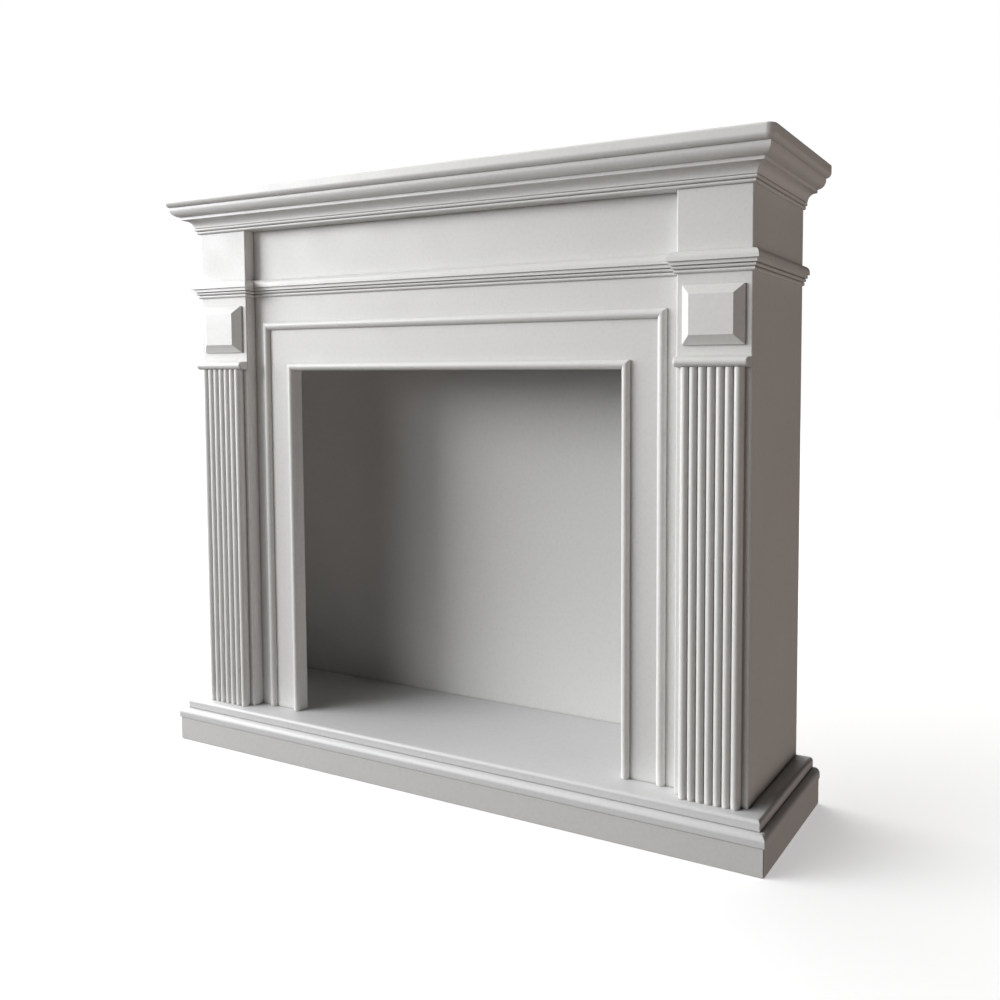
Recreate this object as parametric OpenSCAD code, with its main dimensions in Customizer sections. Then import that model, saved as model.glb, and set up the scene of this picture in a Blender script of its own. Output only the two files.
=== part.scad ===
// Free-standing fireplace surround with a hearth base, two reeded piers,
// mitred frame mouldings round the opening, a belt moulding and a crown.
// Millimetres. X runs across the front, Y from front (-) to back (+), Z up.
// The origin is the middle of the footprint, on the floor.

/* [Overall] */
// Height from the floor to the top of the shelf
total_h = 1050; // [860:1:1400]
// Width across the outer faces of the two piers
body_w = 1130; // [900:1:1600]
// Depth from the front of the piers to the back
body_d = 230; // [150:1:400]

/* [Boards] */
// Thickness of the front panel that holds the opening
panel_t = 16; // [12:1:25]
// Thickness of the side panels
side_t = 18; // [12:1:25]
// Thickness of the back panel
back_t = 6; // [3:1:16]
// Thickness of the plinth boards
plinth_t = 16; // [12:1:25]

/* [Base] */
// Height of the plinth boards
plinth_h = 43; // [30:1:90]
// How far the plinth stands out from the piers
plinth_out = 39.5; // [35:0.5:60]
// Thickness of the lower nosed board
base_board_t = 18; // [15:1:25]
// How far the lower nosed board stands out from the piers
base_board_out = 41; // [36:0.5:65]
// Radius of its upper nosing
base_board_round = 9; // [3:0.5:10]
// Radius of its lower arris
base_board_ease = 2; // [1:0.5:4]
// Thickness of the hearth slab
hearth_t = 16; // [12:1:25]
// How far the hearth slab stands out from the piers
hearth_out = 29; // [20:0.5:45]
// Radius of its upper arris
hearth_round = 5.5; // [2:0.5:8]
// Radius of its lower arris
hearth_ease = 1.5; // [1:0.5:4]

/* [Piers] */
// Width of a pier
pier_w = 120; // [110:1:180]
// Thickness of a pier, and so its relief over the front panel
pier_t = 20; // [14:1:30]
// Radius of the long arrises of a pier
pier_ease = 2.5; // [1:0.5:6]
// Number of reeds on a pier
reed_count = 7; // [4:1:7]
// Distance from one reed to the next
reed_pitch = 14; // [10:0.5:15]
// Height of a reed over the plate it is cut in
reed_rise = 5.5; // [2:0.5:6]
// Thickness of the plate under the reeds
reed_plate_t = 7.5; // [5:0.5:12]
// Height of the half-round necking over the reeds
necking_h = 14.5; // [10:0.5:24]
// How far the necking stands out from the pier
necking_out = 17; // [15:0.5:30]
// How far the necking reaches past the reeds at each side
necking_lap = 10; // [1:0.5:11]
// Radius of the necking's two front corners, seen from above
necking_ease = 4; // [1:0.5:6]
// Width of the bevelled block over the necking
block_w = 98; // [70:1:100]
// Height of the bevelled block
block_h = 87; // [60:1:110]
// How far the bevelled block stands out from the pier
block_out = 13; // [8:0.5:20]
// Width of the bevel round the block
block_bevel = 14; // [6:0.5:20]
// Height of the square edge under the bevel
block_edge = 3.5; // [1:0.5:6]
// Gap above the block, up to the belt
block_gap_top = 17; // [8:1:40]
// Gap below the block, down to the necking
block_gap_bottom = 17.5; // [8:0.5:40]

/* [Opening frames] */
// Width of the outer frame moulding
outer_frame_w = 15; // [10:0.5:24]
// Relief of the outer frame moulding
outer_frame_out = 7; // [4:0.5:12]
// Width of the inner frame moulding
inner_frame_w = 14; // [10:0.5:24]
// Relief of the inner frame moulding
inner_frame_out = 8; // [4:0.5:12]
// Height of the square edges of the frame mouldings
frame_edge = 2; // [0.5:0.5:3.5]
// Gap from a pier to the outer frame
jamb_gap = 24; // [10:1:60]
// Gap between the frames at the sides
frame_gap_side = 47; // [20:1:90]
// Gap between the frames at the top
frame_gap_top = 62; // [20:1:110]
// Gap from the outer frame up to the belt
head_gap = 47; // [15:1:90]

/* [Belt] */
// Height of the frieze between the belt and the crown
frieze_h = 91; // [50:1:160]
// Stand-out of the lowest bead of the belt
belt_bead_out = 4; // [3:0.5:5]
// Radius of the lowest bead of the belt
belt_bead_r = 3; // [2:0.5:3]
// Stand-out of the second bead of the belt
belt_second_out = 6.5; // [5.5:0.5:8]
// Radius of the second bead of the belt
belt_second_r = 2.75; // [2:0.25:3]
// Stand-out of the square fillet of the belt
belt_fillet_out = 9; // [8:0.5:10]
// Height of the square fillet of the belt
belt_fillet_h = 5.5; // [3:0.5:8]
// Stand-out of the rounded cap of the belt
belt_cap_out = 12.5; // [11:0.5:16]
// Radius of the cap's upper shoulder
belt_cap_r = 10; // [6:0.5:10.5]
// Height of the cap's square edge, under the shoulder
belt_cap_edge = 4.5; // [2:0.5:8]

/* [Crown and shelf] */
// Radius of the two small beads at the foot of the crown
crown_bead_r = 2.75; // [1.5:0.25:4]
// Stand-out of the lower bead
crown_bead_out = 4.5; // [4:0.5:5]
// Stand-out of the upper bead, where the cove starts
crown_second_out = 7; // [5.5:0.5:9]
// Radius of the cove
crown_cove_r = 14; // [8:0.5:20]
// Height of the square fillet over the cove
crown_fillet_h = 5.5; // [3:0.5:9]
// Step from the cove out to the fillet
crown_fillet_step = 2.5; // [1:0.5:5]
// Radius of the ovolo over the fillet
crown_ovolo_r = 14; // [8:0.5:16]
// Height of the square neck between the ovolo and the shelf
crown_neck_h = 2.5; // [2:0.5:10]
// Thickness of the shelf
shelf_t = 22; // [15:0.5:38]
// How far the shelf stands out from the piers
shelf_out = 46; // [44:0.5:80]
// Radius of the shelf's upper arris
shelf_round = 4; // [2:0.5:6]
// Radius of the shelf's lower arris
shelf_under_round = 8.5; // [4:0.5:10]
// Radius of the shelf's two front corners, seen from above
shelf_corner_r = 14; // [11:1:30]

/* [Hidden] */
$fn = 64;

// Plan positions
y_back = (body_d + shelf_out) / 2;
y_pier = y_back - body_d;
y_panel = y_pier + pier_t;
x_body = body_w / 2;
x_pier = x_body - pier_w;
x_inside = x_body - side_t;
pier_mid = x_body - pier_w / 2;
reeded_w = reed_count * reed_pitch;

// Half widths of the opening and its frames
x_outer_frame = x_pier - jamb_gap;
x_inner_frame = x_outer_frame - outer_frame_w - frame_gap_side;
x_opening = x_inner_frame - inner_frame_w;

// Heights of the base
z_base_board = plinth_h;
z_hearth = z_base_board + base_board_t;
z_floor = z_hearth + hearth_t;

// Heights of the mouldings, from the top down
belt_cap_h = belt_cap_edge + belt_cap_r;
belt_h = 2 * belt_bead_r + 2 * belt_second_r + belt_fillet_h + belt_cap_h;
crown_cove_z = 4 * crown_bead_r;
crown_fillet_z = crown_cove_z + crown_cove_r;
crown_ovolo_z = crown_fillet_z + crown_fillet_h;
crown_h = crown_ovolo_z + crown_ovolo_r + crown_neck_h;
crown_fillet_out = crown_second_out + crown_cove_r + crown_fillet_step;
crown_out = crown_fillet_out + crown_ovolo_r;
z_shelf = total_h - shelf_t;
z_crown = z_shelf - crown_h;
z_belt = z_crown - frieze_h - belt_h;
z_block = z_belt - block_gap_top - block_h;
z_necking = z_block - block_gap_bottom - necking_h;

// Heights of the opening and its frames
z_outer_frame = z_belt - head_gap;
z_inner_frame = z_outer_frame - outer_frame_w - frame_gap_top;
z_opening = z_inner_frame - inner_frame_w;

// A cutting solid runs this far past the face it cuts
past = 1;

paint = "gainsboro";
paint_shade = "lightgray";
paint_light = "whitesmoke";

// ---- Helpers ----

// Copies a right-hand piece to the left
module left_hand() mirror([1, 0, 0]) children();

// A section carried across the front: its x points forward, its y up
module across(length) rotate([90, 0, -90]) linear_extrude(length, center = true) children();

// A section carried from front to back: its x points to the right, its y up
module backwards(length) rotate([90, 0, 0]) linear_extrude(length, center = true) children();

// An outline in the front view, given as [x, z], made a block across the depth
module front_view_block(outline)
    rotate([90, 0, 0]) linear_extrude(4 * body_d, center = true) polygon(outline);

// A circular segment standing on the x axis, with its chord centred on zero
module segment(chord, rise) {
    radius = (chord * chord / 4 + rise * rise) / (2 * rise);
    intersection() {
        translate([0, rise - radius]) circle(radius);
        translate([-chord / 2, 0]) square([chord, rise]);
    }
}

// A half-round bead that leaves the wall at x = 0 and ends at x = out
module bead(out, r) {
    square([out - r, 2 * r]);
    translate([out - r, r]) circle(r);
}

// The nosed edge of a board: a strip of the given width with its two outer corners rounded
module nosing(width, t, top_r, under_r) {
    difference() {
        square([width, t]);
        translate([width - top_r, t - top_r]) square(top_r + past);
        translate([width - under_r, -past]) square([under_r + past, under_r + past]);
    }
    translate([width - top_r, t - top_r]) circle(top_r);
    translate([width - under_r, under_r]) circle(under_r);
}

// A board that stands out from the piers on three sides, with nosed edges that meet at mitres
module nosed_board(out, t, top_r, under_r) {
    x = x_body + out;
    run = body_d + out;
    intersection() {
        across(2 * x) translate([-y_back, 0]) nosing(run, t, top_r, under_r);
        backwards(4 * run) for (side = [0, 1]) mirror([side, 0]) nosing(x, t, top_r, under_r);
    }
}

// A rectangle that ends at y = 0 and reaches forward, with its two front corners rounded
module round_fronted(w, d, r) {
    translate([-w / 2, r - d]) square([w, d - r]);
    translate([r - w / 2, -d]) square([w - 2 * r, r]);
    for (side = [-1, 1]) translate([side * (w / 2 - r), r - d]) circle(r);
}

// Keeps the part of a moulding inside a plan outline, which gives it its mitres
module mitred(plan, z, h) {
    intersection() {
        translate([0, 0, z - past]) linear_extrude(h + 2 * past) polygon(plan);
        children();
    }
}

// ---- Base ----

module plinth_front() {
    x = x_body + plinth_out;
    y = y_pier - plinth_out;
    color(paint) linear_extrude(plinth_h)
        polygon([[-x, y], [x, y], [x - plinth_t, y + plinth_t], [plinth_t - x, y + plinth_t]]);
}

module plinth_right() {
    x = x_body + plinth_out;
    y = y_pier - plinth_out;
    color(paint) linear_extrude(plinth_h)
        polygon([[x, y], [x, y_back], [x - plinth_t, y_back], [x - plinth_t, y + plinth_t]]);
}

module plinth_left() left_hand() plinth_right();

module plinth_back() {
    x = x_body + plinth_out - plinth_t;
    color(paint_shade) translate([-x, y_back - plinth_t, 0]) cube([2 * x, plinth_t, plinth_h]);
}

module base_board() {
    color(paint) translate([0, 0, z_base_board])
        nosed_board(base_board_out, base_board_t, base_board_round, base_board_ease);
}

module hearth_slab() {
    color(paint_light) translate([0, 0, z_hearth])
        nosed_board(hearth_out, hearth_t, hearth_round, hearth_ease);
}

// ---- Carcass ----

module side_panel_right() {
    color(paint_shade) translate([x_inside, y_panel, z_floor])
        cube([side_t, y_back - y_panel, z_shelf - z_floor]);
}

module side_panel_left() left_hand() side_panel_right();

module back_panel() {
    color(paint_shade) translate([-x_inside, y_back - back_t, z_floor])
        cube([2 * x_inside, back_t, z_shelf - z_floor]);
}

module front_panel() {
    color(paint) difference() {
        translate([-x_inside, y_panel, z_floor]) cube([2 * x_inside, panel_t, z_shelf - z_floor]);
        translate([-x_opening, y_panel - past, z_floor - past])
            cube([2 * x_opening, panel_t + 2 * past, z_opening - z_floor + past]);
    }
}

// ---- Piers ----

module pier_right() {
    color(paint) translate([pier_mid, y_panel, z_floor]) linear_extrude(z_shelf - z_floor)
        round_fronted(pier_w, pier_t, pier_ease);
}

module pier_left() left_hand() pier_right();

module reeded_panel_right() {
    color(paint) translate([pier_mid, y_pier, z_floor]) rotate([0, 0, 180])
        linear_extrude(z_necking - z_floor) {
            translate([-reeded_w / 2, 0]) square([reeded_w, reed_plate_t]);
            for (reed = [0 : reed_count - 1])
                translate([(reed + 0.5) * reed_pitch - reeded_w / 2, reed_plate_t])
                    segment(reed_pitch, reed_rise);
        }
}

module reeded_panel_left() left_hand() reeded_panel_right();

module necking_right() {
    w = reeded_w + 2 * necking_lap;
    color(paint_light) translate([pier_mid, y_pier, z_necking]) intersection() {
        across(w) bead(necking_out, necking_h / 2);
        linear_extrude(necking_h) round_fronted(w, necking_out, necking_ease);
    }
}

module necking_left() left_hand() necking_right();

module bevelled_block_right() {
    module bevelled(length)
        polygon([[-length / 2, 0], [length / 2, 0], [length / 2, block_edge],
                 [length / 2 - block_bevel, block_out], [block_bevel - length / 2, block_out],
                 [-length / 2, block_edge]]);
    color(paint_light) translate([pier_mid, y_pier, z_block + block_h / 2]) intersection() {
        rotate([0, 0, 180]) linear_extrude(block_h, center = true) bevelled(block_w);
        across(block_w) rotate(-90) bevelled(block_h);
    }
}

module bevelled_block_left() left_hand() bevelled_block_right();

// ---- Frames round the opening ----

// Section of a frame moulding: square edges under a rounded back
module frame_section(w, out) {
    translate([-w / 2, 0]) square([w, frame_edge]);
    translate([0, frame_edge]) segment(w, out - frame_edge);
}

// Head of a frame, mitred at both ends; x and z are the outer corner
module frame_head(x, z, w, out) {
    intersection() {
        translate([0, y_panel, z - w / 2]) across(2 * x) rotate(-90) frame_section(w, out);
        front_view_block([[-x, z], [x, z], [x - w, z - w], [w - x, z - w]]);
    }
}

// Right-hand leg of a frame, standing on the hearth slab
module frame_leg(x, z, w, out) {
    intersection() {
        translate([x - w / 2, y_panel, z_floor]) rotate([0, 0, 180])
            linear_extrude(z - z_floor) frame_section(w, out);
        front_view_block([[x - w, z_floor], [x, z_floor], [x, z], [x - w, z - w]]);
    }
}

module outer_frame_head() color(paint_light)
    frame_head(x_outer_frame, z_outer_frame, outer_frame_w, outer_frame_out);

module outer_frame_right() color(paint_light)
    frame_leg(x_outer_frame, z_outer_frame, outer_frame_w, outer_frame_out);

module outer_frame_left() left_hand() outer_frame_right();

module inner_frame_head() color(paint_light)
    frame_head(x_inner_frame, z_inner_frame, inner_frame_w, inner_frame_out);

module inner_frame_right() color(paint_light)
    frame_leg(x_inner_frame, z_inner_frame, inner_frame_w, inner_frame_out);

module inner_frame_left() left_hand() inner_frame_right();

// ---- Belt moulding ----

// Section of the belt: two beads, a fillet and a cap with a rounded shoulder
module belt_section() {
    second_z = 2 * belt_bead_r;
    fillet_z = second_z + 2 * belt_second_r;
    cap_z = fillet_z + belt_fillet_h;
    bead(belt_bead_out, belt_bead_r);
    translate([0, second_z]) bead(belt_second_out, belt_second_r);
    translate([0, fillet_z]) square([belt_fillet_out, belt_fillet_h]);
    translate([0, cap_z]) {
        square([belt_cap_out, belt_cap_edge]);
        translate([0, belt_cap_edge]) square([belt_cap_out - belt_cap_r, belt_cap_r]);
        translate([belt_cap_out - belt_cap_r, belt_cap_edge]) intersection() {
            circle(belt_cap_r);
            square(belt_cap_r);
        }
    }
}

module belt_middle() {
    x = x_pier - belt_cap_out;
    y = y_panel - belt_cap_out;
    color(paint_light) mitred([[-x_pier, y_panel], [x_pier, y_panel], [x, y], [-x, y]], z_belt, belt_h)
        translate([0, y_panel, z_belt]) across(body_w) belt_section();
}

module belt_return_right() {
    x = x_pier - belt_cap_out;
    plan = [[x_pier, y_panel], [x_pier, y_pier], [x, y_pier - belt_cap_out], [x, y_panel - belt_cap_out]];
    color(paint_light) mitred(plan, z_belt, belt_h)
        translate([x_pier, y_pier, z_belt]) mirror([1, 0, 0]) backwards(body_d) belt_section();
}

module belt_return_left() left_hand() belt_return_right();

module belt_pier_right() {
    y = y_pier - belt_cap_out;
    plan = [[x_pier, y_pier], [x_body, y_pier], [x_body + belt_cap_out, y], [x_pier - belt_cap_out, y]];
    color(paint_light) mitred(plan, z_belt, belt_h)
        translate([0, y_pier, z_belt]) across(2 * body_w) belt_section();
}

module belt_pier_left() left_hand() belt_pier_right();

module belt_side_right() {
    x = x_body + belt_cap_out;
    plan = [[x_body, y_pier], [x_body, y_back], [x, y_back], [x, y_pier - belt_cap_out]];
    color(paint_shade) mitred(plan, z_belt, belt_h)
        translate([x_body, y_pier, z_belt]) backwards(4 * body_d) belt_section();
}

module belt_side_left() left_hand() belt_side_right();

// ---- Crown and shelf ----

// Section of the crown: two beads, a cove, a fillet, an ovolo and a neck
module crown_section() {
    bead(crown_bead_out, crown_bead_r);
    translate([0, 2 * crown_bead_r]) bead(crown_second_out, crown_bead_r);
    translate([0, crown_cove_z]) difference() {
        square([crown_second_out + crown_cove_r, crown_cove_r]);
        translate([crown_second_out + crown_cove_r, 0]) circle(crown_cove_r);
    }
    translate([0, crown_fillet_z]) square([crown_fillet_out, crown_fillet_h]);
    translate([0, crown_ovolo_z]) {
        square([crown_fillet_out, crown_ovolo_r]);
        translate([crown_fillet_out, crown_ovolo_r]) intersection() {
            circle(crown_ovolo_r);
            translate([0, -crown_ovolo_r]) square(crown_ovolo_r);
        }
        translate([0, crown_ovolo_r]) square([crown_out, crown_neck_h]);
    }
}

module crown_front() {
    x = x_body + crown_out;
    plan = [[-x_body, y_pier], [x_body, y_pier], [x, y_pier - crown_out], [-x, y_pier - crown_out]];
    color(paint_light) mitred(plan, z_crown, crown_h)
        translate([0, y_pier, z_crown]) across(2 * body_w) crown_section();
}

module crown_right() {
    x = x_body + crown_out;
    plan = [[x_body, y_pier], [x_body, y_back], [x, y_back], [x, y_pier - crown_out]];
    color(paint_shade) mitred(plan, z_crown, crown_h)
        translate([x_body, y_pier, z_crown]) backwards(4 * body_d) crown_section();
}

module crown_left() left_hand() crown_right();

// Rail behind the crown that fills the recess between the piers
module crown_rail() {
    color(paint) translate([-x_pier, y_pier, z_crown]) cube([2 * x_pier, pier_t, crown_h]);
}

module shelf() {
    color(paint_light) translate([0, 0, z_shelf]) intersection() {
        nosed_board(shelf_out, shelf_t, shelf_round, shelf_under_round);
        translate([0, y_back, 0]) linear_extrude(shelf_t)
            round_fronted(body_w + 2 * shelf_out, body_d + shelf_out, shelf_corner_r);
    }
}

plinth_front();
plinth_left();
plinth_right();
plinth_back();
base_board();
hearth_slab();
side_panel_left();
side_panel_right();
back_panel();
front_panel();
pier_left();
pier_right();
reeded_panel_left();
reeded_panel_right();
necking_left();
necking_right();
bevelled_block_left();
bevelled_block_right();
outer_frame_head();
outer_frame_left();
outer_frame_right();
inner_frame_head();
inner_frame_left();
inner_frame_right();
belt_middle();
belt_return_left();
belt_return_right();
belt_pier_left();
belt_pier_right();
belt_side_left();
belt_side_right();
crown_front();
crown_left();
crown_right();
crown_rail();
shelf();
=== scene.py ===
"""Looks of the painted fireplace mantelpiece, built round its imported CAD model.

Lengths are metres in the CAD frame: +X runs right across the front, +Y runs to the wall
behind and +Z runs up. Every visible piece is a closed skin over rings of points, and every
ring is worked out with numpy from the box of the CAD piece that it stands for.
"""

import logging
import math
from dataclasses import dataclass, field
from enum import Enum

import bmesh
import bpy
import numpy as np
from mathutils import Matrix, Vector


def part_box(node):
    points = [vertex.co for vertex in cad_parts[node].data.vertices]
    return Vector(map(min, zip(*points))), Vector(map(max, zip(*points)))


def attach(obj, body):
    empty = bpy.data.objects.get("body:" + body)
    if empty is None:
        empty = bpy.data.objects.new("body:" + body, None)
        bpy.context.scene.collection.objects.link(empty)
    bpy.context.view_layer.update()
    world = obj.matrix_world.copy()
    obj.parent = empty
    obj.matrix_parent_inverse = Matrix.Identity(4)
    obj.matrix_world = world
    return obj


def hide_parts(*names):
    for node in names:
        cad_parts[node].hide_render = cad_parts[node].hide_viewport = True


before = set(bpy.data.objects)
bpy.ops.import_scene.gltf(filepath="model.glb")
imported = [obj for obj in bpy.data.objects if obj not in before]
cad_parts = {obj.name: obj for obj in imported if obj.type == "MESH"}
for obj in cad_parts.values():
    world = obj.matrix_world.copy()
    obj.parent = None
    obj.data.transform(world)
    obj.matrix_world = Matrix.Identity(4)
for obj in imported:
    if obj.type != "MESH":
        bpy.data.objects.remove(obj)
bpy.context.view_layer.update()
LOG = logging.getLogger("mantelpiece")
MM = 0.001
SHARP_DEGREES = 40.0
NORMAL_WEIGHT = 80
WELD = 1e-6
TINY = 1e-12
MITRE_LIMIT = 0.5
FLAT_COST = 1e-4
EASE_POINTS = 4


# ---- Plane geometry ----


def filleted(
    corners: np.ndarray, radii: np.ndarray, closed: bool, steps: int = 5
) -> np.ndarray:
    """Rounds the corners of an outline.

    Each corner is replaced by an arc that touches both of its sides. The arc starts
    radius / tan(half the corner's angle) away, and its points are spread evenly by the
    spherical mean of the two radii that end it.

    Args:
        corners: Corner points, one row each.
        radii: Radius at each corner, in metres; a tiny one leaves the corner nearly sharp.
        closed: True for a loop, False for a path whose two end points stay as they are.
        steps: Points on each arc.

    Returns:
        The points of the rounded outline.
    """
    before, after = np.roll(corners, 1, axis=0), np.roll(corners, -1, axis=0)
    inner = slice(None) if closed else slice(1, -1)
    at, radius = corners[inner], radii[inner, None]
    back = unit(before[inner] - at)
    ahead = unit(after[inner] - at)
    half = np.arccos(np.clip((back * ahead).sum(1, keepdims=True), -1, 1)) / 2
    reach = radius / np.tan(half)
    middle = at + unit(back + ahead) * radius / np.sin(half)
    first, last = at + back * reach - middle, at + ahead * reach - middle
    sweep = (math.pi - 2 * half)[:, None, :]
    share = np.linspace(0, 1, steps)[None, :, None]
    from_first = np.sin((1 - share) * sweep) * first[:, None, :]
    from_last = np.sin(share * sweep) * last[:, None, :]
    bow = (from_first + from_last) / np.sin(sweep)
    points = (middle[:, None, :] + bow).reshape(-1, corners.shape[1])
    return points if closed else np.vstack([corners[:1], points, corners[-1:]])


def unit(vectors: np.ndarray) -> np.ndarray:
    """Scales each vector to a length of one."""
    return vectors / np.maximum(np.linalg.norm(vectors, axis=-1, keepdims=True), TINY)


def arc(centre: tuple[float, float], radius: float, start: float, stop: float) -> np.ndarray:
    """Points of a circular arc, one about every six degrees.

    Args:
        centre: Centre of the circle.
        radius: Its radius.
        start: First angle in degrees, from the first axis towards the second.
        stop: Last angle in degrees.

    Returns:
        The points, one row each.
    """
    angles = np.radians(np.linspace(start, stop, max(4, int(abs(stop - start) / 6))))
    return np.array(centre) + radius * np.stack([np.cos(angles), np.sin(angles)], axis=1)


def softened(path: np.ndarray, spread: float, turn: float = 7.0) -> np.ndarray:
    """Rounds a closed outline all over, as coats of paint do.

    The outline is walked at even steps, and every point becomes the mean of its
    neighbours under a bell curve as wide as spread. Points are then kept evenly by how
    far the outline has turned, and by a FLAT_COST for each step, so that the curves
    keep many and the flats keep few.

    Args:
        path: Points of the closed outline.
        spread: Width of the bell curve, in metres.
        turn: Degrees of turning between two kept points.

    Returns:
        The points of the softened outline.
    """
    loop = np.vstack([path, path[:1]])
    walked = np.concatenate([[0.0], np.cumsum(np.linalg.norm(np.diff(loop, axis=0), axis=1))])
    count = int(math.ceil(walked[-1] / (spread / 3)))
    places = np.linspace(0, walked[-1], count, endpoint=False)
    dense = np.stack([np.interp(places, walked, loop[:, axis]) for axis in (0, 1)], axis=1)
    waves = np.fft.fftfreq(count, d=walked[-1] / count)
    gain = np.exp(-2 * (math.pi * waves * spread) ** 2)[:, None]
    soft = np.fft.ifft(np.fft.fft(dense, axis=0) * gain, axis=0).real
    step = np.roll(soft, -1, axis=0) - soft
    heading = np.arctan2(step[:, 1], step[:, 0])
    bend = np.abs((np.roll(heading, -1) - heading + math.pi) % (2 * math.pi) - math.pi)
    cost = np.concatenate([[0.0], np.cumsum(np.roll(bend, 1) / math.radians(turn) + FLAT_COST)])
    wanted = np.linspace(0, cost[-1], int(math.ceil(cost[-1])), endpoint=False)
    ring = np.vstack([soft, soft[:1]])
    return np.stack([np.interp(wanted, cost, ring[:, axis]) for axis in (0, 1)], axis=1)


def inset(outline: np.ndarray, by: float) -> np.ndarray:
    """Moves a closed outline inwards by the same distance all round.

    Each point moves along the mean of its two sides' normals, and so far that both
    sides move by the distance asked for, up to the MITRE_LIMIT at very sharp corners.

    Args:
        outline: Points of the closed outline, either way round.
        by: How far in its sides move, in metres.

    Returns:
        The points of the smaller outline, in the same order.
    """
    side = unit(np.roll(outline, -1, axis=0) - outline)
    normal = np.stack([side[:, 1], -side[:, 0]], axis=1)
    nxt = np.roll(outline, -1, axis=0)
    area = float((outline[:, 0] * nxt[:, 1] - outline[:, 1] * nxt[:, 0]).sum())
    normal = normal * math.copysign(1, area)
    both = normal + np.roll(normal, 1, axis=0)
    share = 1 + (normal * np.roll(normal, 1, axis=0)).sum(1, keepdims=True)
    return outline - both / np.maximum(share, MITRE_LIMIT) * by


def rectangle(low: tuple[float, float], high: tuple[float, float]) -> np.ndarray:
    """Corners of an upright rectangle, anticlockwise from its lowest corner."""
    return np.array([low, (high[0], low[1]), high, (low[0], high[1])], float)


# ---- Skins ----


@dataclass
class Plane:
    """A place and three directions that carry outline points into the frame.

    A point (a, b) at a level h lands on at + a * first + b * second + h * rise.

    Attributes:
        at: The place.
        first: Direction of an outline's first axis.
        second: Direction of its second axis.
        rise: Direction of the levels.
    """

    at: tuple[float, float, float] = (0.0, 0.0, 0.0)
    first: tuple[float, float, float] = (1.0, 0.0, 0.0)
    second: tuple[float, float, float] = (0.0, 1.0, 0.0)
    rise: tuple[float, float, float] = (0.0, 0.0, 1.0)

    def carry(self, outline: np.ndarray, level: float) -> np.ndarray:
        """Places one outline at one level, as an array of points in the frame."""
        return (
            np.array(self.at)
            + outline[:, :1] * np.array(self.first)
            + outline[:, 1:2] * np.array(self.second)
            + level * np.array(self.rise)
        )


def facing_front(back: float) -> Plane:
    """The upright plane at a given Y, which rises towards the front."""
    return Plane(at=(0, back, 0), second=(0, 0, 1), rise=(0, -1, 0))


def eased_levels(thickness: float, ease: float) -> np.ndarray:
    """Pairs of inset and level that carry an outline up with both of its rims rounded."""
    path = np.array([[ease, 0], [0, 0], [0, thickness], [ease, thickness]])
    return filleted(path, np.full(4, ease), closed=False, steps=EASE_POINTS)


def lofted(
    corners: np.ndarray, radii: np.ndarray, levels: np.ndarray, plane: Plane
) -> np.ndarray:
    """Rings of one outline moved inwards and lifted, pair by pair.

    Only the corners are moved, and each ring is rounded afterwards, so that a corner
    keeps its radius however far its ring is drawn in.

    Args:
        corners: Corners of the closed outline.
        radii: Radius at each corner.
        levels: Pairs of inset and level.
        plane: What carries them into the frame.

    Returns:
        The rings, as an array of rings by points by three.
    """
    outlines = [filleted(inset(corners, by), radii, closed=True) for by, _ in levels]
    return np.stack([plane.carry(o, level) for o, (_, level) in zip(outlines, levels)])


def lifted(outline: np.ndarray, levels: np.ndarray, plane: Plane) -> np.ndarray:
    """Rings of one smooth outline, moved inwards point by point and lifted."""
    return np.stack([plane.carry(inset(outline, by), level) for by, level in levels])


@dataclass
class MitredEnd:
    """One end of a moulding.

    Attributes:
        at: The foot of the section at this end.
        out: How far a point of the section moves for each unit of stand-out.
    """

    at: tuple[float, float, float]
    out: tuple[float, float, float]

    def ring(self, section: np.ndarray, up: tuple[float, float, float]) -> np.ndarray:
        """The section laid on this end's mitre plane."""
        return Plane(at=self.at, first=self.out, second=up).carry(section, 0.0)


def mitred_run(
    section: np.ndarray,
    start: MitredEnd,
    end: MitredEnd,
    up: tuple[float, float, float],
    ease: float,
) -> np.ndarray:
    """Carries a section from one mitre to the other, with the rims of both ends eased.

    The ring at each end is drawn in by the ease, and the next ones follow a quarter
    circle out to the full section, so that two lengths meet in a fine groove.

    Args:
        section: Closed outline, given as stand-out and height.
        start: The end it leaves.
        end: The end it reaches.
        up: Direction of the section's height.
        ease: Radius of the eased rims.

    Returns:
        The rings, as an array of rings by points by three.
    """
    along = unit(np.array(end.at, float) - np.array(start.at, float))
    quarter = np.radians(np.linspace(0, 90, EASE_POINTS))
    drawn, moved = ease * (1 - np.sin(quarter)), ease * (1 - np.cos(quarter))
    first = [start.ring(inset(section, d), up) + along * m for d, m in zip(drawn, moved)]
    last = [end.ring(inset(section, d), up) - along * m for d, m in zip(drawn, moved)]
    return np.stack(first + last[::-1])


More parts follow.
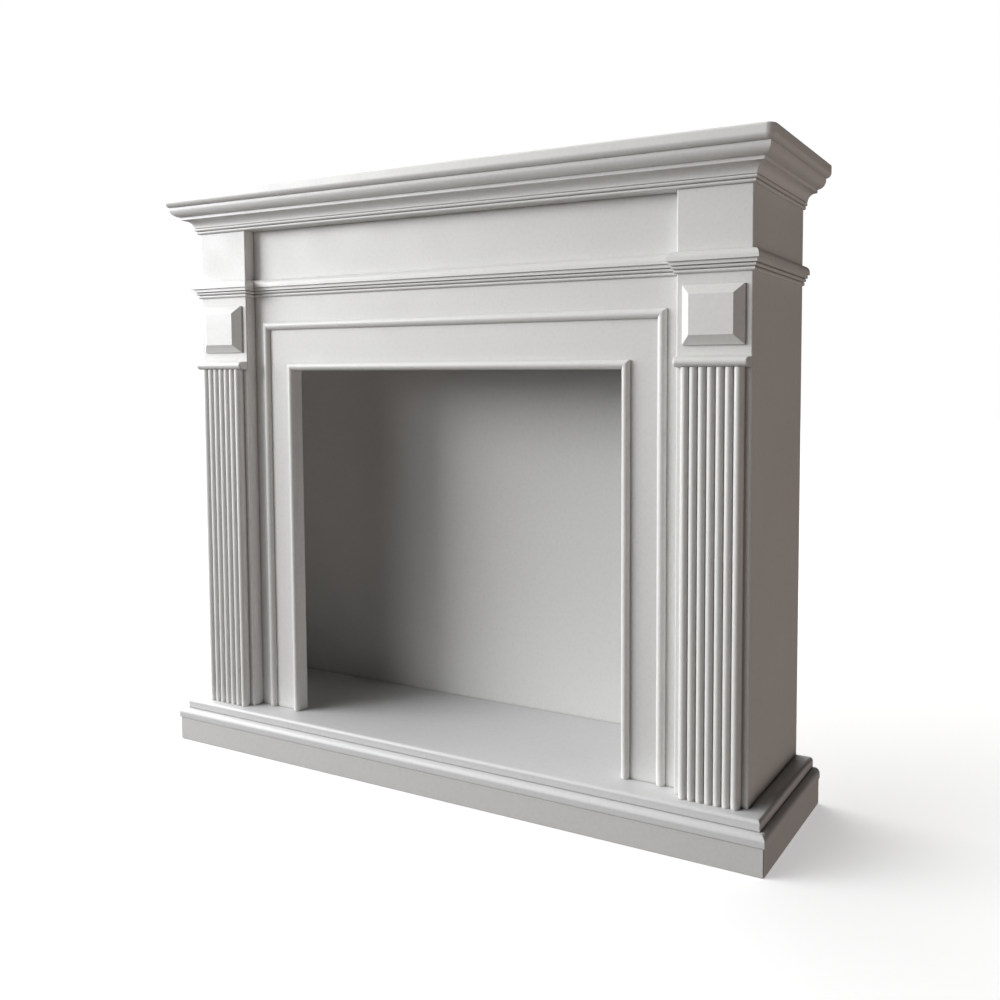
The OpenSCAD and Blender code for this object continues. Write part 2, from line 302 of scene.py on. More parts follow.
def skin(name: str, rings: np.ndarray) -> bpy.types.Object:
    """Makes one closed mesh over rings of points, with a flat face on the first and last ring.

    Args:
        name: The piece's name.
        rings: Rings by points by three.

    Returns:
        The object, at the origin. Its normals are weighted by face area and split where
        two faces meet at more than SHARP_DEGREES.
    """
    count, around = rings.shape[:2]
    index = np.arange(count * around).reshape(count, around)
    low, high = index[:-1], index[1:]
    sides = np.stack([low, np.roll(low, -1, axis=1), np.roll(high, -1, axis=1), high], axis=-1)
    faces = sides.reshape(-1, 4).tolist() + [index[0, ::-1].tolist(), index[-1].tolist()]
    mesh = bpy.data.meshes.new(name)
    mesh.from_pydata(rings.reshape(-1, 3).tolist(), [], faces)
    shape = bmesh.new()
    shape.from_mesh(mesh)
    bmesh.ops.remove_doubles(shape, verts=shape.verts, dist=WELD)
    bmesh.ops.recalc_face_normals(shape, faces=shape.faces)
    shape.to_mesh(mesh)
    shape.free()
    mesh.polygons.foreach_set("use_smooth", np.ones(len(mesh.polygons), dtype=bool))
    mesh.set_sharp_from_angle(angle=math.radians(SHARP_DEGREES))
    mesh.update()
    piece = bpy.data.objects.new(name, mesh)
    bpy.context.scene.collection.objects.link(piece)
    weighted = piece.modifiers.new("area_normals", "WEIGHTED_NORMAL")
    weighted.weight = NORMAL_WEIGHT
    weighted.keep_sharp = True
    return piece


# ---- Finishes ----


class Sheen(Enum):
    """How glossy a coat of paint dries."""

    SATIN = 0.40
    EGGSHELL = 0.48
    MATT = 0.62


@dataclass(frozen=True)
class PaintFinish:
    """A sprayed coat of paint over fibreboard.

    Attributes:
        name: Name of the material.
        colour: Linear colour of the coat.
        shade: Linear colour of the shade painted into creases, where less light reaches.
        sheen: Its gloss.
        stipple: Height of the spray's fine ripple, in metres.
        mottle: How far the colour drifts over the surface, from 0 to 1.
        crease_shade_strength: Strength of the shade painted into creases.
        crease_shade_reach: How far that painted shade reaches out of creases, in metres.
        edge: Strength of the highlight painted on edges.
        edge_highlight_reach: How far that painted highlight reaches from an edge, in metres.
        seed: Offset that keeps one finish's pattern apart from the next.
        drift_scale: Patches of tone for each metre.
        fleck_scale: Flecks for each metre.
        highlight_patch_scale: Patches that break up the painted edge highlight, for each metre.
        gloss_scale: Patches of gloss for each metre.
        peel_scale: Ripples of orange peel for each metre.
        grain_scale: Grains for each metre.
        ior: Refraction of the dried coat.
    """

    name: str
    colour: tuple[float, float, float]
    shade: tuple[float, float, float]
    sheen: Sheen
    stipple: float = 0.00002
    mottle: float = 0.03
    crease_shade_strength: float = 0.75
    crease_shade_reach: float = 7 * MM
    edge: float = 0.5
    edge_highlight_reach: float = 2.5 * MM
    seed: float = 0.0
    drift_scale: float = 3.1
    fleck_scale: float = 160.0
    highlight_patch_scale: float = 38.0
    gloss_scale: float = 17.0
    peel_scale: float = 380.0
    grain_scale: float = 1900.0
    ior: float = 1.48

    def material(self) -> bpy.types.Material:
        """Builds the node material, or finds the one already built.

        Returns:
            The material, with procedural colour, gloss and bump in object space.
        """
        known = bpy.data.materials.get(self.name)
        if known:
            return known
        made = bpy.data.materials.new(self.name)
        made.use_nodes = True
        made.diffuse_color = (*self.colour, 1.0)
        nodes = Graph(made.node_tree)
        offset = (self.seed, self.seed * 0.7, -self.seed)
        place = nodes.add("ShaderNodeMapping", Location=offset)
        nodes.join(nodes.add("ShaderNodeTexCoord"), "Object", place, "Vector")
        shader = nodes.first("ShaderNodeBsdfPrincipled")
        nodes.join(self.coat_with_painted_light(nodes, place), "Color", shader, "Base Color")
        nodes.join(self.gloss(nodes, place), "Result", shader, "Roughness")
        nodes.join(self.ripple(nodes, place), "Normal", shader, "Normal")
        shader.inputs["IOR"].default_value = self.ior
        return made

    def coat_with_painted_light(self, nodes: "Graph", place: bpy.types.Node) -> bpy.types.Node:
        """Colour of the coat: slow drift and fine flecks, with shade painted into creases and
        highlights painted on edges.

        Args:
            nodes: The material's nodes.
            place: Node that gives the place on the object.

        Returns:
            A node whose Color is the coat's colour.
        """
        drift = nodes.noise(place, scale=self.drift_scale, detail=4.0)
        darker, lighter = self.toned(-self.mottle), self.toned(self.mottle * 0.4)
        tone = nodes.ramp(drift, "Fac", [(0.30, darker), (0.72, lighter)])
        fleck = nodes.noise(place, scale=self.fleck_scale, detail=2.0)
        flecks = nodes.ramp(fleck, "Fac", [(0.30, FLECK), (0.55, (1.0, 1.0, 1.0))])
        coat = nodes.blend("MULTIPLY", 1.0, tone, flecks)
        # Painted shade: creases darken towards the shade colour, as where less light reaches
        # them.
        hollow = nodes.occlusion(self.crease_shade_reach, samples=6, inside=False)
        crease_shade_mix = nodes.spread(hollow, "AO", (0.22, 0.78), (self.crease_shade_strength, 0.0))
        shaded_coat = nodes.blend("MIX", 0.0, coat, None, last=self.shade)
        nodes.join(crease_shade_mix, "Result", shaded_coat, "Fac")
        # Painted highlight: edges lighten towards a pale colour, in patches, as where light
        # catches them.
        arris = nodes.occlusion(self.edge_highlight_reach, samples=4, inside=True)
        highlight_patches = nodes.noise(place, scale=self.highlight_patch_scale, detail=3.0)
        patch = nodes.spread(highlight_patches, "Fac", (0.35, 0.65), (0.35, 1.0))
        edge_highlight_mix = nodes.spread(arris, "AO", (0.30, 0.80), (self.edge, 0.0))
        share = nodes.combine("MULTIPLY", (edge_highlight_mix, "Result"), (patch, "Result"))
        highlighted_coat = nodes.blend("MIX", 0.0, shaded_coat, None, last=PAINTED_EDGE_HIGHLIGHT)
        nodes.join(share, "Value", highlighted_coat, "Fac")
        return highlighted_coat

    def toned(self, by: float) -> tuple[float, float, float]:
        """The coat's colour, made lighter or darker by a share."""
        return tuple(min(1.0, c * (1 + by)) for c in self.colour)

    def gloss(self, nodes: "Graph", place: bpy.types.Node) -> bpy.types.Node:
        """Roughness that wanders a little from patch to patch.

        Args:
            nodes: The material's nodes.
            place: Node that gives the place on the object.

        Returns:
            A node whose Result is the roughness.
        """
        patches = nodes.noise(place, scale=self.gloss_scale, detail=5.0)
        dry = self.sheen.value
        return nodes.spread(patches, "Fac", (0.3, 0.7), (dry - 0.05, dry + 0.07))

    def ripple(self, nodes: "Graph", place: bpy.types.Node) -> bpy.types.Node:
        """Bump of the sprayed coat: a soft orange peel under a finer grain.

        Args:
            nodes: The material's nodes.
            place: Node that gives the place on the object.

        Returns:
            A node whose Normal is the rippled surface's.
        """
        peel = nodes.noise(place, scale=self.peel_scale, detail=1.5)
        coarse = nodes.add("ShaderNodeBump", Strength=0.55, Distance=self.stipple)
        nodes.join(peel, "Fac", coarse, "Height")
        grain = nodes.noise(place, scale=self.grain_scale, detail=2.0)
        fine = nodes.add("ShaderNodeBump", Strength=0.35, Distance=self.stipple * 0.3)
        nodes.join(grain, "Fac", fine, "Height")
        nodes.join(coarse, "Normal", fine, "Normal")
        return fine


@dataclass
class Graph:
    """Short calls to place and join shader nodes in one tree.

    Attributes:
        tree: The node tree.
    """

    tree: bpy.types.NodeTree

    def add(self, kind: str, **values: object) -> bpy.types.Node:
        """Adds a node and sets its input sockets.

        Args:
            kind: The node's type.
            **values: Value of each socket by its name, with underscores for spaces.

        Returns:
            The new node.
        """
        node = self.tree.nodes.new(kind)
        for socket, value in values.items():
            node.inputs[socket.replace("_", " ")].default_value = value
        return node

    def first(self, kind: str) -> bpy.types.Node:
        """The tree's first node of that kind."""
        return next(n for n in self.tree.nodes if n.bl_idname == kind)

    def join(
        self, source: bpy.types.Node, output: str, target: bpy.types.Node, socket: str | int
    ) -> None:
        """Links one node's output to another's input, named or counted."""
        self.tree.links.new(source.outputs[output], target.inputs[socket])

    def noise(self, place: bpy.types.Node, scale: float, detail: float) -> bpy.types.Node:
        """Adds a noise texture.

        Args:
            place: Node that gives the place on the object.
            scale: Features for each metre.
            detail: Octaves of finer noise on top.

        Returns:
            A node whose Fac is the noise.
        """
        node = self.add("ShaderNodeTexNoise", Scale=scale, Detail=detail, Roughness=0.55)
        self.join(place, "Vector", node, "Vector")
        return node

    def ramp(self, source: bpy.types.Node, output: str, stops: list[tuple]) -> bpy.types.Node:
        """Adds a colour ramp.

        Args:
            source: Node that drives it.
            output: That node's output.
            stops: Position and linear colour of each of its two stops.

        Returns:
            A node whose Color is the ramp's.
        """
        node = self.add("ShaderNodeValToRGB")
        for element, (position, colour) in zip(node.color_ramp.elements, stops):
            element.position = position
            element.color = (*colour, 1.0)
        self.join(source, output, node, "Fac")
        return node

    def spread(
        self,
        source: bpy.types.Node,
        output: str,
        come: tuple[float, float],
        go: tuple[float, float],
    ) -> bpy.types.Node:
        """Maps one range of values onto another, clamped.

        Args:
            source: Node that gives the value.
            output: That node's output.
            come: Range that the value comes from.
            go: Range that it goes to.

        Returns:
            A node whose Result is the mapped value.
        """
        node = self.add(
            "ShaderNodeMapRange", From_Min=come[0], From_Max=come[1], To_Min=go[0], To_Max=go[1]
        )
        self.join(source, output, node, "Value")
        return node

    def occlusion(self, reach: float, samples: int, inside: bool) -> bpy.types.Node:
        """Adds a measure of how hemmed in the surface is.

        Args:
            reach: How far it looks, in metres.
            samples: Rays for each measure.
            inside: True to look into the piece, which finds its edges.

        Returns:
            A node whose AO is 1 in the open and 0 where the surface is closed in.
        """
        node = self.add("ShaderNodeAmbientOcclusion", Distance=reach)
        node.samples, node.inside = samples, inside
        return node

    def combine(
        self,
        how: str,
        one: tuple[bpy.types.Node, str],
        other: tuple[bpy.types.Node, str] | float,
    ) -> bpy.types.Node:
        """Works out one value from two.

        Args:
            how: The operation, such as MULTIPLY.
            one: First node and its output.
            other: Second node and its output, or a fixed number.

        Returns:
            A node whose Value is the outcome.
        """
        node = self.tree.nodes.new("ShaderNodeMath")
        node.operation = how
        self.join(*one, node, 0)
        if isinstance(other, tuple):
            self.join(*other, node, 1)
        else:
            node.inputs[1].default_value = other
        return node

    def blend(
        self,
        how: str,
        factor: float,
        one: bpy.types.Node,
        other: bpy.types.Node | None,
        last: tuple[float, float, float] = (1.0, 1.0, 1.0),
    ) -> bpy.types.Node:
        """Mixes the colours of two nodes, or of one node and a fixed colour.

        Args:
            how: The blend mode.
            factor: Share of the second colour.
            one: First node.
            other: Second node, or None for the fixed colour.
            last: The fixed colour, linear.

        Returns:
            A node whose Color is the mix.
        """
        node = self.add("ShaderNodeMixRGB", Fac=factor)
        node.blend_type = how
        self.join(one, "Color", node, "Color1")
        if other is None:
            node.inputs["Color2"].default_value = (*last, 1.0)
        else:
            self.join(other, "Color", node, "Color2")
        return node


# Colour of the shade painted into creases.
PAINTED_CREASE_SHADE = (0.30, 0.29, 0.275)
# Colour of the highlight painted on edges.
PAINTED_EDGE_HIGHLIGHT = (0.93, 0.93, 0.92)
FLECK = (0.965, 0.962, 0.955)
BODY_PAINT = PaintFinish(
    "sprayed_body_white", (0.80, 0.80, 0.785), PAINTED_CREASE_SHADE, Sheen.EGGSHELL, mottle=0.025, seed=1.3
)
TRIM_PAINT = PaintFinish(
    "sprayed_trim_white",
    (0.83, 0.83, 0.815),
    PAINTED_CREASE_SHADE,
    Sheen.SATIN,
    stipple=0.000014,
    mottle=0.02,
    seed=4.1,
)
BASE_PAINT = PaintFinish(
    "sprayed_base_white", (0.745, 0.75, 0.755), PAINTED_CREASE_SHADE, Sheen.SATIN, mottle=0.03, seed=7.7
)
PLINTH_PAINT = PaintFinish(
    "sprayed_plinth_grey", (0.70, 0.70, 0.69), PAINTED_CREASE_SHADE, Sheen.MATT, mottle=0.035, seed=2.9
)
INSIDE_PAINT = PaintFinish(
    "sprayed_inside_white", (0.78, 0.78, 0.77), PAINTED_CREASE_SHADE, Sheen.MATT, mottle=0.03, seed=5.5
)


# ---- Pieces ----


def box(node: str) -> tuple[np.ndarray, np.ndarray]:
    """Lowest and highest corner of a CAD piece, as arrays."""
    low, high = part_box(node)
    return np.array(low), np.array(high)


@dataclass
class SubAssembly:
    """Common steps of every sub-assembly.

    Attributes:
        made: Pieces shown so far.
    """

    made: int = field(default=0, init=False)

    def show(self, node: str, rings: np.ndarray, finish: PaintFinish) -> bpy.types.Object:
        """Makes the piece that stands for one CAD piece, and paints it.

        Args:
            node: Name of the CAD piece.
            rings: Rings of points of its skin.
            finish: Its paint.

        Returns:
            The painted piece, riding on the root body.
        """
        piece = skin(f"{node}_painted", rings)
        piece.data.materials.append(finish.material())
        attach(piece, "root")
        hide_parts(node)
        self.made += 1
        LOG.info("%s: %d faces, %s", piece.name, len(piece.data.polygons), finish.name)
        return piece

    def keep(self, node: str, finish: PaintFinish) -> None:
        """Paints a CAD piece that is shown as it is.

        Args:
            node: Name of the CAD piece.
            finish: Its paint.
        """
        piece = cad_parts[node]
        piece.data.materials.clear()
        piece.data.materials.append(finish.material())
        self.made += 1
        LOG.info("%s: kept from the CAD, %s", node, finish.name)

    def board(self, node: str, finish: PaintFinish, ease: float) -> bpy.types.Object:
        """Makes a plain board: the CAD piece's box with every edge eased.

        Args:
            node: Name of the CAD piece.
            finish: Its paint.
            ease: Radius of the edges.

        Returns:
            The painted board.
        """
        low, high = box(node)
        corners, levels = rectangle(low[:2], high[:2]), eased_levels(high[2] - low[2], ease)
        rings = lofted(corners, np.full(4, ease), levels, Plane(at=(0, 0, low[2])))
        return self.show(node, rings, finish)

    def both_hands(self, node: str, rings: np.ndarray, finish: PaintFinish) -> None:
        """Shows a right-hand piece, and its mirror image on the left."""
        self.show(f"{node}_right", rings, finish)
        self.show(f"{node}_left", rings * np.array([-1.0, 1.0, 1.0]), finish)


@dataclass
class HearthBase(SubAssembly):
    """Plinth boards, the lower nosed board and the hearth slab.

    Attributes:
        plinth_ease: Radius of the plinth's upright corners.
        plinth_rim: Radius of its upper and lower rims.
        board_round: Nosing on the lower board's upper edge.
        board_under: Easing of its lower edge.
        slab_round: Nosing on the hearth slab's upper edge.
        slab_under: Easing of its lower edge.
        arris: Radius of the front corners of both boards, seen from above.
        nosing_steps: Points on the arc of a nosing.
    """

    plinth_ease: float = 1.0 * MM
    plinth_rim: float = 1.8 * MM
    board_round: float = 9 * MM
    board_under: float = 2 * MM
    slab_round: float = 5.5 * MM
    slab_under: float = 1.5 * MM
    arris: float = 1.2 * MM
    nosing_steps: int = 9

    def build(self) -> None:
        """Makes all six pieces."""
        self.plinth()
        self.nosed("base_board", self.board_round, self.board_under)
        self.nosed("hearth_slab", self.slab_round, self.slab_under)

    def plinth(self) -> None:
        """The four plinth boards, with mitred front corners."""
        low, high = box("plinth_front")
        inner = box("plinth_right")[0][0]
        corners = np.array(
            [(low[0], low[1]), (high[0], low[1]), (inner, high[1]), (-inner, high[1])], float
        )
        rise = eased_levels(high[2] - low[2], self.plinth_rim)
        radii = np.full(4, self.plinth_ease)
        self.show("plinth_front", lofted(corners, radii, rise, Plane()), PLINTH_PAINT)
        side_low, side_high = box("plinth_right")
        corners = np.array(
            [
                (side_high[0], side_low[1]),
                (side_high[0], side_high[1]),
                (side_low[0], side_high[1]),
                (side_low[0], high[1]),
            ],
            float,
        )
        self.both_hands("plinth", lofted(corners, radii, rise, Plane()), PLINTH_PAINT)
        self.keep("plinth_back", PLINTH_PAINT)

    def nosed(self, node: str, top: float, under: float) -> None:
        """A board nosed on three sides, square against the wall.

        Its outline is run past the wall and pressed back onto it, so that the insets
        of the nosing leave the back edge square.

        Args:
            node: Name of the CAD piece.
            top: Radius of the upper edge.
            under: Radius of the lower edge.
        """
        low, high = box(node)
        wall, thick = high[1], high[2] - low[2]
        reach = 2 * max(top, under)
        edge = np.array([[2 * under, 0], [0, 0], [0, thick], [2 * top, thick]])
        radii = np.array([0, under, top, 0])
        levels = filleted(edge, radii, closed=False, steps=self.nosing_steps)
        corners = rectangle(low[:2], (high[0], wall + reach))
        rings = lofted(corners, np.full(4, self.arris), levels, Plane(at=(0, 0, low[2])))
        rings[..., 1] = np.minimum(rings[..., 1], wall)
        self.show(node, rings, BASE_PAINT)


@dataclass
class Carcass(SubAssembly):
    """Side panels, front panel with its opening, back panel and the rail behind the crown.

    Attributes:
        ease: Radius of the boards' edges.
    """

    ease: float = 0.5 * MM

    def build(self) -> None:
        """Makes all five pieces."""
        self.board("side_panel_left", BODY_PAINT, self.ease)
        self.board("side_panel_right", BODY_PAINT, self.ease)
        self.front_panel()
        self.keep("back_panel", INSIDE_PAINT)
        self.keep("crown_rail", BODY_PAINT)

    def front_panel(self) -> None:
        """One board with the opening cut up from its lower edge."""
        low, high = box("front_panel")
        jamb = box("inner_frame_right")[0][0]
        lintel = box("inner_frame_head")[0][2]
        LOG.info("opening %.3f m wide and up to %.3f m", 2 * jamb, lintel)
        corners = np.array(
            [
                (low[0], low[2]),
                (-jamb, low[2]),
                (-jamb, lintel),
                (jamb, lintel),
                (jamb, low[2]),
                (high[0], low[2]),
                (high[0], high[2]),
                (low[0], high[2]),
            ],
            float,
        )
        levels = eased_levels(high[1] - low[1], self.ease)
        radii = np.full(len(corners), self.ease)
        rings = lofted(corners, radii, levels, facing_front(high[1]))
        self.show("front_panel", rings, BODY_PAINT)


@dataclass
class Piers(SubAssembly):
    """Two piers, each with its reeded panel, necking and bevelled block.

    Attributes:
        arris: Radius of a pier's two long front edges.
        reeds: Reeds on each panel.
        reed_points: Points across one reed.
        reed_rise: Height of a crest over its valleys.
        reed_softness: Spread of the paint in the valleys.
        necking_corner: Radius of the necking's front corners, seen from above.
        corner_share: Largest share of the necking's stand-out that a corner takes up.
        nose_sweep: Degrees above and below level that the necking's nose turns through.
        necking_steps: Points on the arc of a necking's corner.
        block_bevel: Width of the bevel round the block's field.
        block_edge: Height of the square edge under the bevel.
        block_arris: Radius of the block's edges.
        joint: Radius of edges that meet another board.
    """

    arris: float = 2.5 * MM
    reeds: int = 7
    reed_points: int = 24
    reed_rise: float = 5.5 * MM
    reed_softness: float = 0.45 * MM
    necking_corner: float = 4 * MM
    corner_share: float = 0.6
    nose_sweep: float = 88.0
    necking_steps: int = 7
    block_bevel: float = 14 * MM
    block_edge: float = 3.5 * MM
    block_arris: float = 0.8 * MM
    joint: float = 0.4 * MM

    def build(self) -> None:
        """Makes all eight pieces, right and left."""
        self.pier()
        self.reeded_panel()
        self.necking()
        self.bevelled_block()

    def pier(self) -> None:
        """The flat board of a pier, with its two long front arrises rounded."""
        low, high = box("pier_right")
        radii = np.array([self.arris, self.arris, self.joint, self.joint])
        corners, levels = rectangle(low[:2], high[:2]), eased_levels(high[2] - low[2], self.joint)
        rings = lofted(corners, radii, levels, Plane(at=(0, 0, low[2])))
        self.both_hands("pier", rings, BODY_PAINT)

    def reeded_panel(self) -> None:
        """A plate with round reeds side by side.

        Across each reed the height follows a circle's arc that rises from the valley
        to the crest and back; paint softens the valleys.
        """
        low, high = box("reeded_panel_right")
        width, out = high[0] - low[0], high[1] - low[1]
        pitch = width / self.reeds
        radius = (pitch**2 / 4 + self.reed_rise**2) / (2 * self.reed_rise)
        across = np.linspace(0, width, self.reeds * self.reed_points + 1)
        from_crest = np.abs(across % pitch - pitch / 2)
        rise = np.sqrt(radius**2 - from_crest**2) - (radius - self.reed_rise)
        front = np.stack([low[0] + across, high[1] - (out - self.reed_rise + rise)], axis=1)
        outline = np.vstack([front, [(high[0], high[1]), (low[0], high[1])]])
        soft = softened(outline, self.reed_softness)
        levels = eased_levels(high[2] - low[2], self.joint)
        rings = lifted(soft, levels, Plane(at=(0, 0, low[2])))
        self.both_hands("reeded_panel", rings, TRIM_PAINT)

    def necking(self) -> None:
        """A half-round strip: at each height its plan is cut back to the nose's stand-out."""
        low, high = box("necking_right")
        half, out = (high[2] - low[2]) / 2, high[1] - low[1]
        nose = arc((out - half, half), half, self.nose_sweep, -self.nose_sweep)
        section = np.vstack([nose[:1] * (1, 0) + (0, 2 * half), nose, nose[-1:] * (1, 0)])
        rings = np.stack([self.necking_ring(low, high, *level) for level in section])
        self.both_hands("necking", rings, TRIM_PAINT)

    def necking_ring(
        self, low: np.ndarray, high: np.ndarray, stand: float, height: float
    ) -> np.ndarray:
        """Plan of the necking at one height, as far out as the nose stands there.

        Args:
            low: Lowest corner of the CAD piece.
            high: Its highest corner.
            stand: How far the nose stands out at this height.
            height: The height, from the foot of the piece.

        Returns:
            One ring of points.
        """
        front = min(self.necking_corner, stand * self.corner_share)
        corners = rectangle((low[0], high[1] - stand), (high[0], high[1]))
        radii = np.array([front, front, self.joint / 4, self.joint / 4])
        plan = filleted(corners, radii, closed=True, steps=self.necking_steps)
        return Plane(at=(0, 0, low[2])).carry(plan, height)

    def bevelled_block(self) -> None:
        """A raised block: a low square edge, a broad bevel and a flat field."""
        low, high = box("bevelled_block_right")
        out = high[1] - low[1]
        path = np.array(
            [
                (0, 0),
                (0, self.block_edge),
                (self.block_bevel, out),
                (self.block_bevel + 2 * self.block_arris, out),
            ]
        )
        levels = filleted(path, np.full(4, self.block_arris), closed=False)
        corners = rectangle((low[0], low[2]), (high[0], high[2]))
        radii = np.full(4, self.block_arris)
        rings = lofted(corners, radii, levels, facing_front(high[1]))
        self.both_hands("bevelled_block", rings, TRIM_PAINT)


@dataclass
class OpeningFrames(SubAssembly):
    """Inner and outer frame mouldings round the opening, each in three mitred lengths.

    Attributes:
        square_edge: Height of the square edges beside the rounded back.
        softness: Spread of the paint over the section.
        joint: Radius of the rims at the mitres.
    """

    square_edge: float = 2 * MM
    softness: float = 0.4 * MM
    joint: float = 0.25 * MM

    def build(self) -> None:
        """Makes all six pieces."""
        for which in ("outer_frame", "inner_frame"):
            self.frame_moulding(which)

    def section(self, width: float, out: float) -> np.ndarray:
        """Section across the moulding: square edges, and a back that follows a circle's arc.

        Args:
            width: Width of the moulding.
            out: How far it stands out.

        Returns:
            The closed outline, as width and stand-out.
        """
        rise = out - self.square_edge
        radius = (width**2 / 4 + rise**2) / (2 * rise)
        half = math.degrees(math.asin(width / 2 / radius))
        back = arc((width / 2, out - radius), radius, 90 + half, 90 - half)
        return softened(np.vstack([[(0, 0)], back, [(width, 0)]]), self.softness)

    def frame_moulding(self, which: str) -> None:
        """Makes the head and legs of one frame; the legs stand on the hearth slab.

        Args:
            which: First part of the names of the frame's CAD pieces.
        """
        low, high = box(f"{which}_head")
        leg_low, _ = box(f"{which}_right")
        wall, top = high[1], high[2]
        section = self.section(high[2] - low[2], high[1] - low[1])
        up = (0.0, -1.0, 0.0)
        right = MitredEnd((high[0], wall, top), (-1, 0, -1))
        left = MitredEnd((low[0], wall, top), (1, 0, -1))
        self.show(f"{which}_head", mitred_run(section, left, right, up, self.joint), TRIM_PAINT)
        foot = MitredEnd((high[0], wall, leg_low[2]), (-1, 0, 0))
        self.both_hands(which, mitred_run(section, foot, right, up, self.joint), TRIM_PAINT)


@dataclass
class BeltMoulding(SubAssembly):
    """The belt under the frieze: two beads, a fillet and a cap, broken forward round the piers.

    Attributes:
        bead_out: Stand-out of the lower bead.
        bead_r: Its radius.
        second_out: Stand-out of the bead above it.
        second_r: Its radius.
        fillet_out: Stand-out of the fillet.
        fillet_h: Its height.
        cap_out: Stand-out of the cap.
        cap_r: Radius of its shoulder.
        cap_edge: Height of its square edge.
        softness: Spread of the paint over the section.
        joint: Radius of the rims at the mitres.
    """

    bead_out: float = 4 * MM
    bead_r: float = 3 * MM
    second_out: float = 6.5 * MM
    second_r: float = 2.75 * MM
    fillet_out: float = 9 * MM
    fillet_h: float = 5.5 * MM
    cap_out: float = 12.5 * MM
    cap_r: float = 10 * MM
    cap_edge: float = 4.5 * MM
    softness: float = 0.35 * MM
    joint: float = 0.25 * MM

    def section(self) -> np.ndarray:
        """Section from the foot up: lower bead, second bead, fillet, then the cap's shoulder.

        Returns:
            The closed outline, as stand-out and height.
        """
        second = 2 * self.bead_r
        fillet = second + 2 * self.second_r
        cap = fillet + self.fillet_h
        shoulder = cap + self.cap_edge
        second_at = (self.second_out - self.second_r, second + self.second_r)
        path = np.vstack(
            [
                [(0, 0)],
                arc((self.bead_out - self.bead_r, self.bead_r), self.bead_r, -90, 90),
                arc(second_at, self.second_r, -90, 90),
                [(self.fillet_out, fillet), (self.fillet_out, cap), (self.cap_out, cap)],
                arc((self.cap_out - self.cap_r, shoulder), self.cap_r, 0, 90),
                [(0, shoulder + self.cap_r)],
            ]
        )
        return softened(path, self.softness)

    def build(self) -> None:
        """Makes all seven lengths, mitred where they turn."""
        section = self.section()
        z = box("belt_middle")[0][2]
        panel = box("belt_middle")[1][1]
        pier_low, pier_high = box("pier_right")
        wall = box("belt_side_right")[1][1]
        inner = MitredEnd((pier_low[0], panel, z), (-1, -1, 0))
        nook = MitredEnd((-pier_low[0], panel, z), (1, -1, 0))
        near = MitredEnd((pier_low[0], pier_low[1], z), (-1, -1, 0))
        corner = MitredEnd((pier_high[0], pier_low[1], z), (1, -1, 0))
        back = MitredEnd((pier_high[0], wall, z), (1, 0, 0))
        up = (0.0, 0.0, 1.0)
        self.show("belt_middle", mitred_run(section, nook, inner, up, self.joint), TRIM_PAINT)
        for node, start, end in (
            ("belt_return", inner, near),
            ("belt_pier", near, corner),
            ("belt_side", corner, back),
        ):
            rings = mitred_run(section, start, end, up, self.joint)
            self.both_hands(node, rings, TRIM_PAINT)


@dataclass
class CrownMoulding(SubAssembly):
    """The crown under the shelf: two beads, a cove, a fillet, an ovolo and a neck.

    Attributes:
        bead_r: Radius of both beads.
        bead_out: Stand-out of the lower bead.
        second_out: Stand-out of the upper bead.
        cove_r: Radius of the cove.
        fillet_h: Height of the fillet.
        fillet_step: How far the fillet stands out past the cove.
        ovolo_r: Radius of the ovolo.
        neck_h: Height of the neck under the shelf.
        softness: Spread of the paint over the section.
        joint: Radius of the rims at the mitres.
    """

    bead_r: float = 2.75 * MM
    bead_out: float = 4.5 * MM
    second_out: float = 7 * MM
    cove_r: float = 14 * MM
    fillet_h: float = 5.5 * MM
    fillet_step: float = 2.5 * MM
    ovolo_r: float = 14 * MM
    neck_h: float = 2.5 * MM
    softness: float = 0.35 * MM
    joint: float = 0.25 * MM

    def section(self) -> np.ndarray:
        """Section from the foot up; the cove is hollow and the ovolo is full.

        Returns:
            The closed outline, as stand-out and height.
        """
        cove = 4 * self.bead_r
        fillet = cove + self.cove_r
        ovolo = fillet + self.fillet_h
        top = ovolo + self.ovolo_r + self.neck_h
        foot = self.second_out + self.cove_r
        fillet_out = foot + self.fillet_step
        path = np.vstack(
            [
                [(0, 0)],
                arc((self.bead_out - self.bead_r, self.bead_r), self.bead_r, -90, 90),
                arc((self.second_out - self.bead_r, 3 * self.bead_r), self.bead_r, -90, 90),
                arc((foot, cove), self.cove_r, 180, 90),
                [(fillet_out, fillet), (fillet_out, ovolo)],
                arc((fillet_out, ovolo + self.ovolo_r), self.ovolo_r, -90, 0),
                [(fillet_out + self.ovolo_r, top), (0, top)],
            ]
        )
        return softened(path, self.softness)

    def build(self) -> None:
        """Makes the front length and the two side lengths."""
        section = self.section()
        low, _ = box("crown_front")
        pier_low, pier_high = box("pier_right")
        wall = box("crown_right")[1][1]
        z = low[2]
        right = MitredEnd((pier_high[0], pier_low[1], z), (1, -1, 0))
        left = MitredEnd((-pier_high[0], pier_low[1], z), (-1, -1, 0))
        back = MitredEnd((pier_high[0], wall, z), (1, 0, 0))
        up = (0.0, 0.0, 1.0)
        self.show("crown_front", mitred_run(section, left, right, up, self.joint), TRIM_PAINT)
        self.both_hands("crown", mitred_run(section, right, back, up, self.joint), TRIM_PAINT)


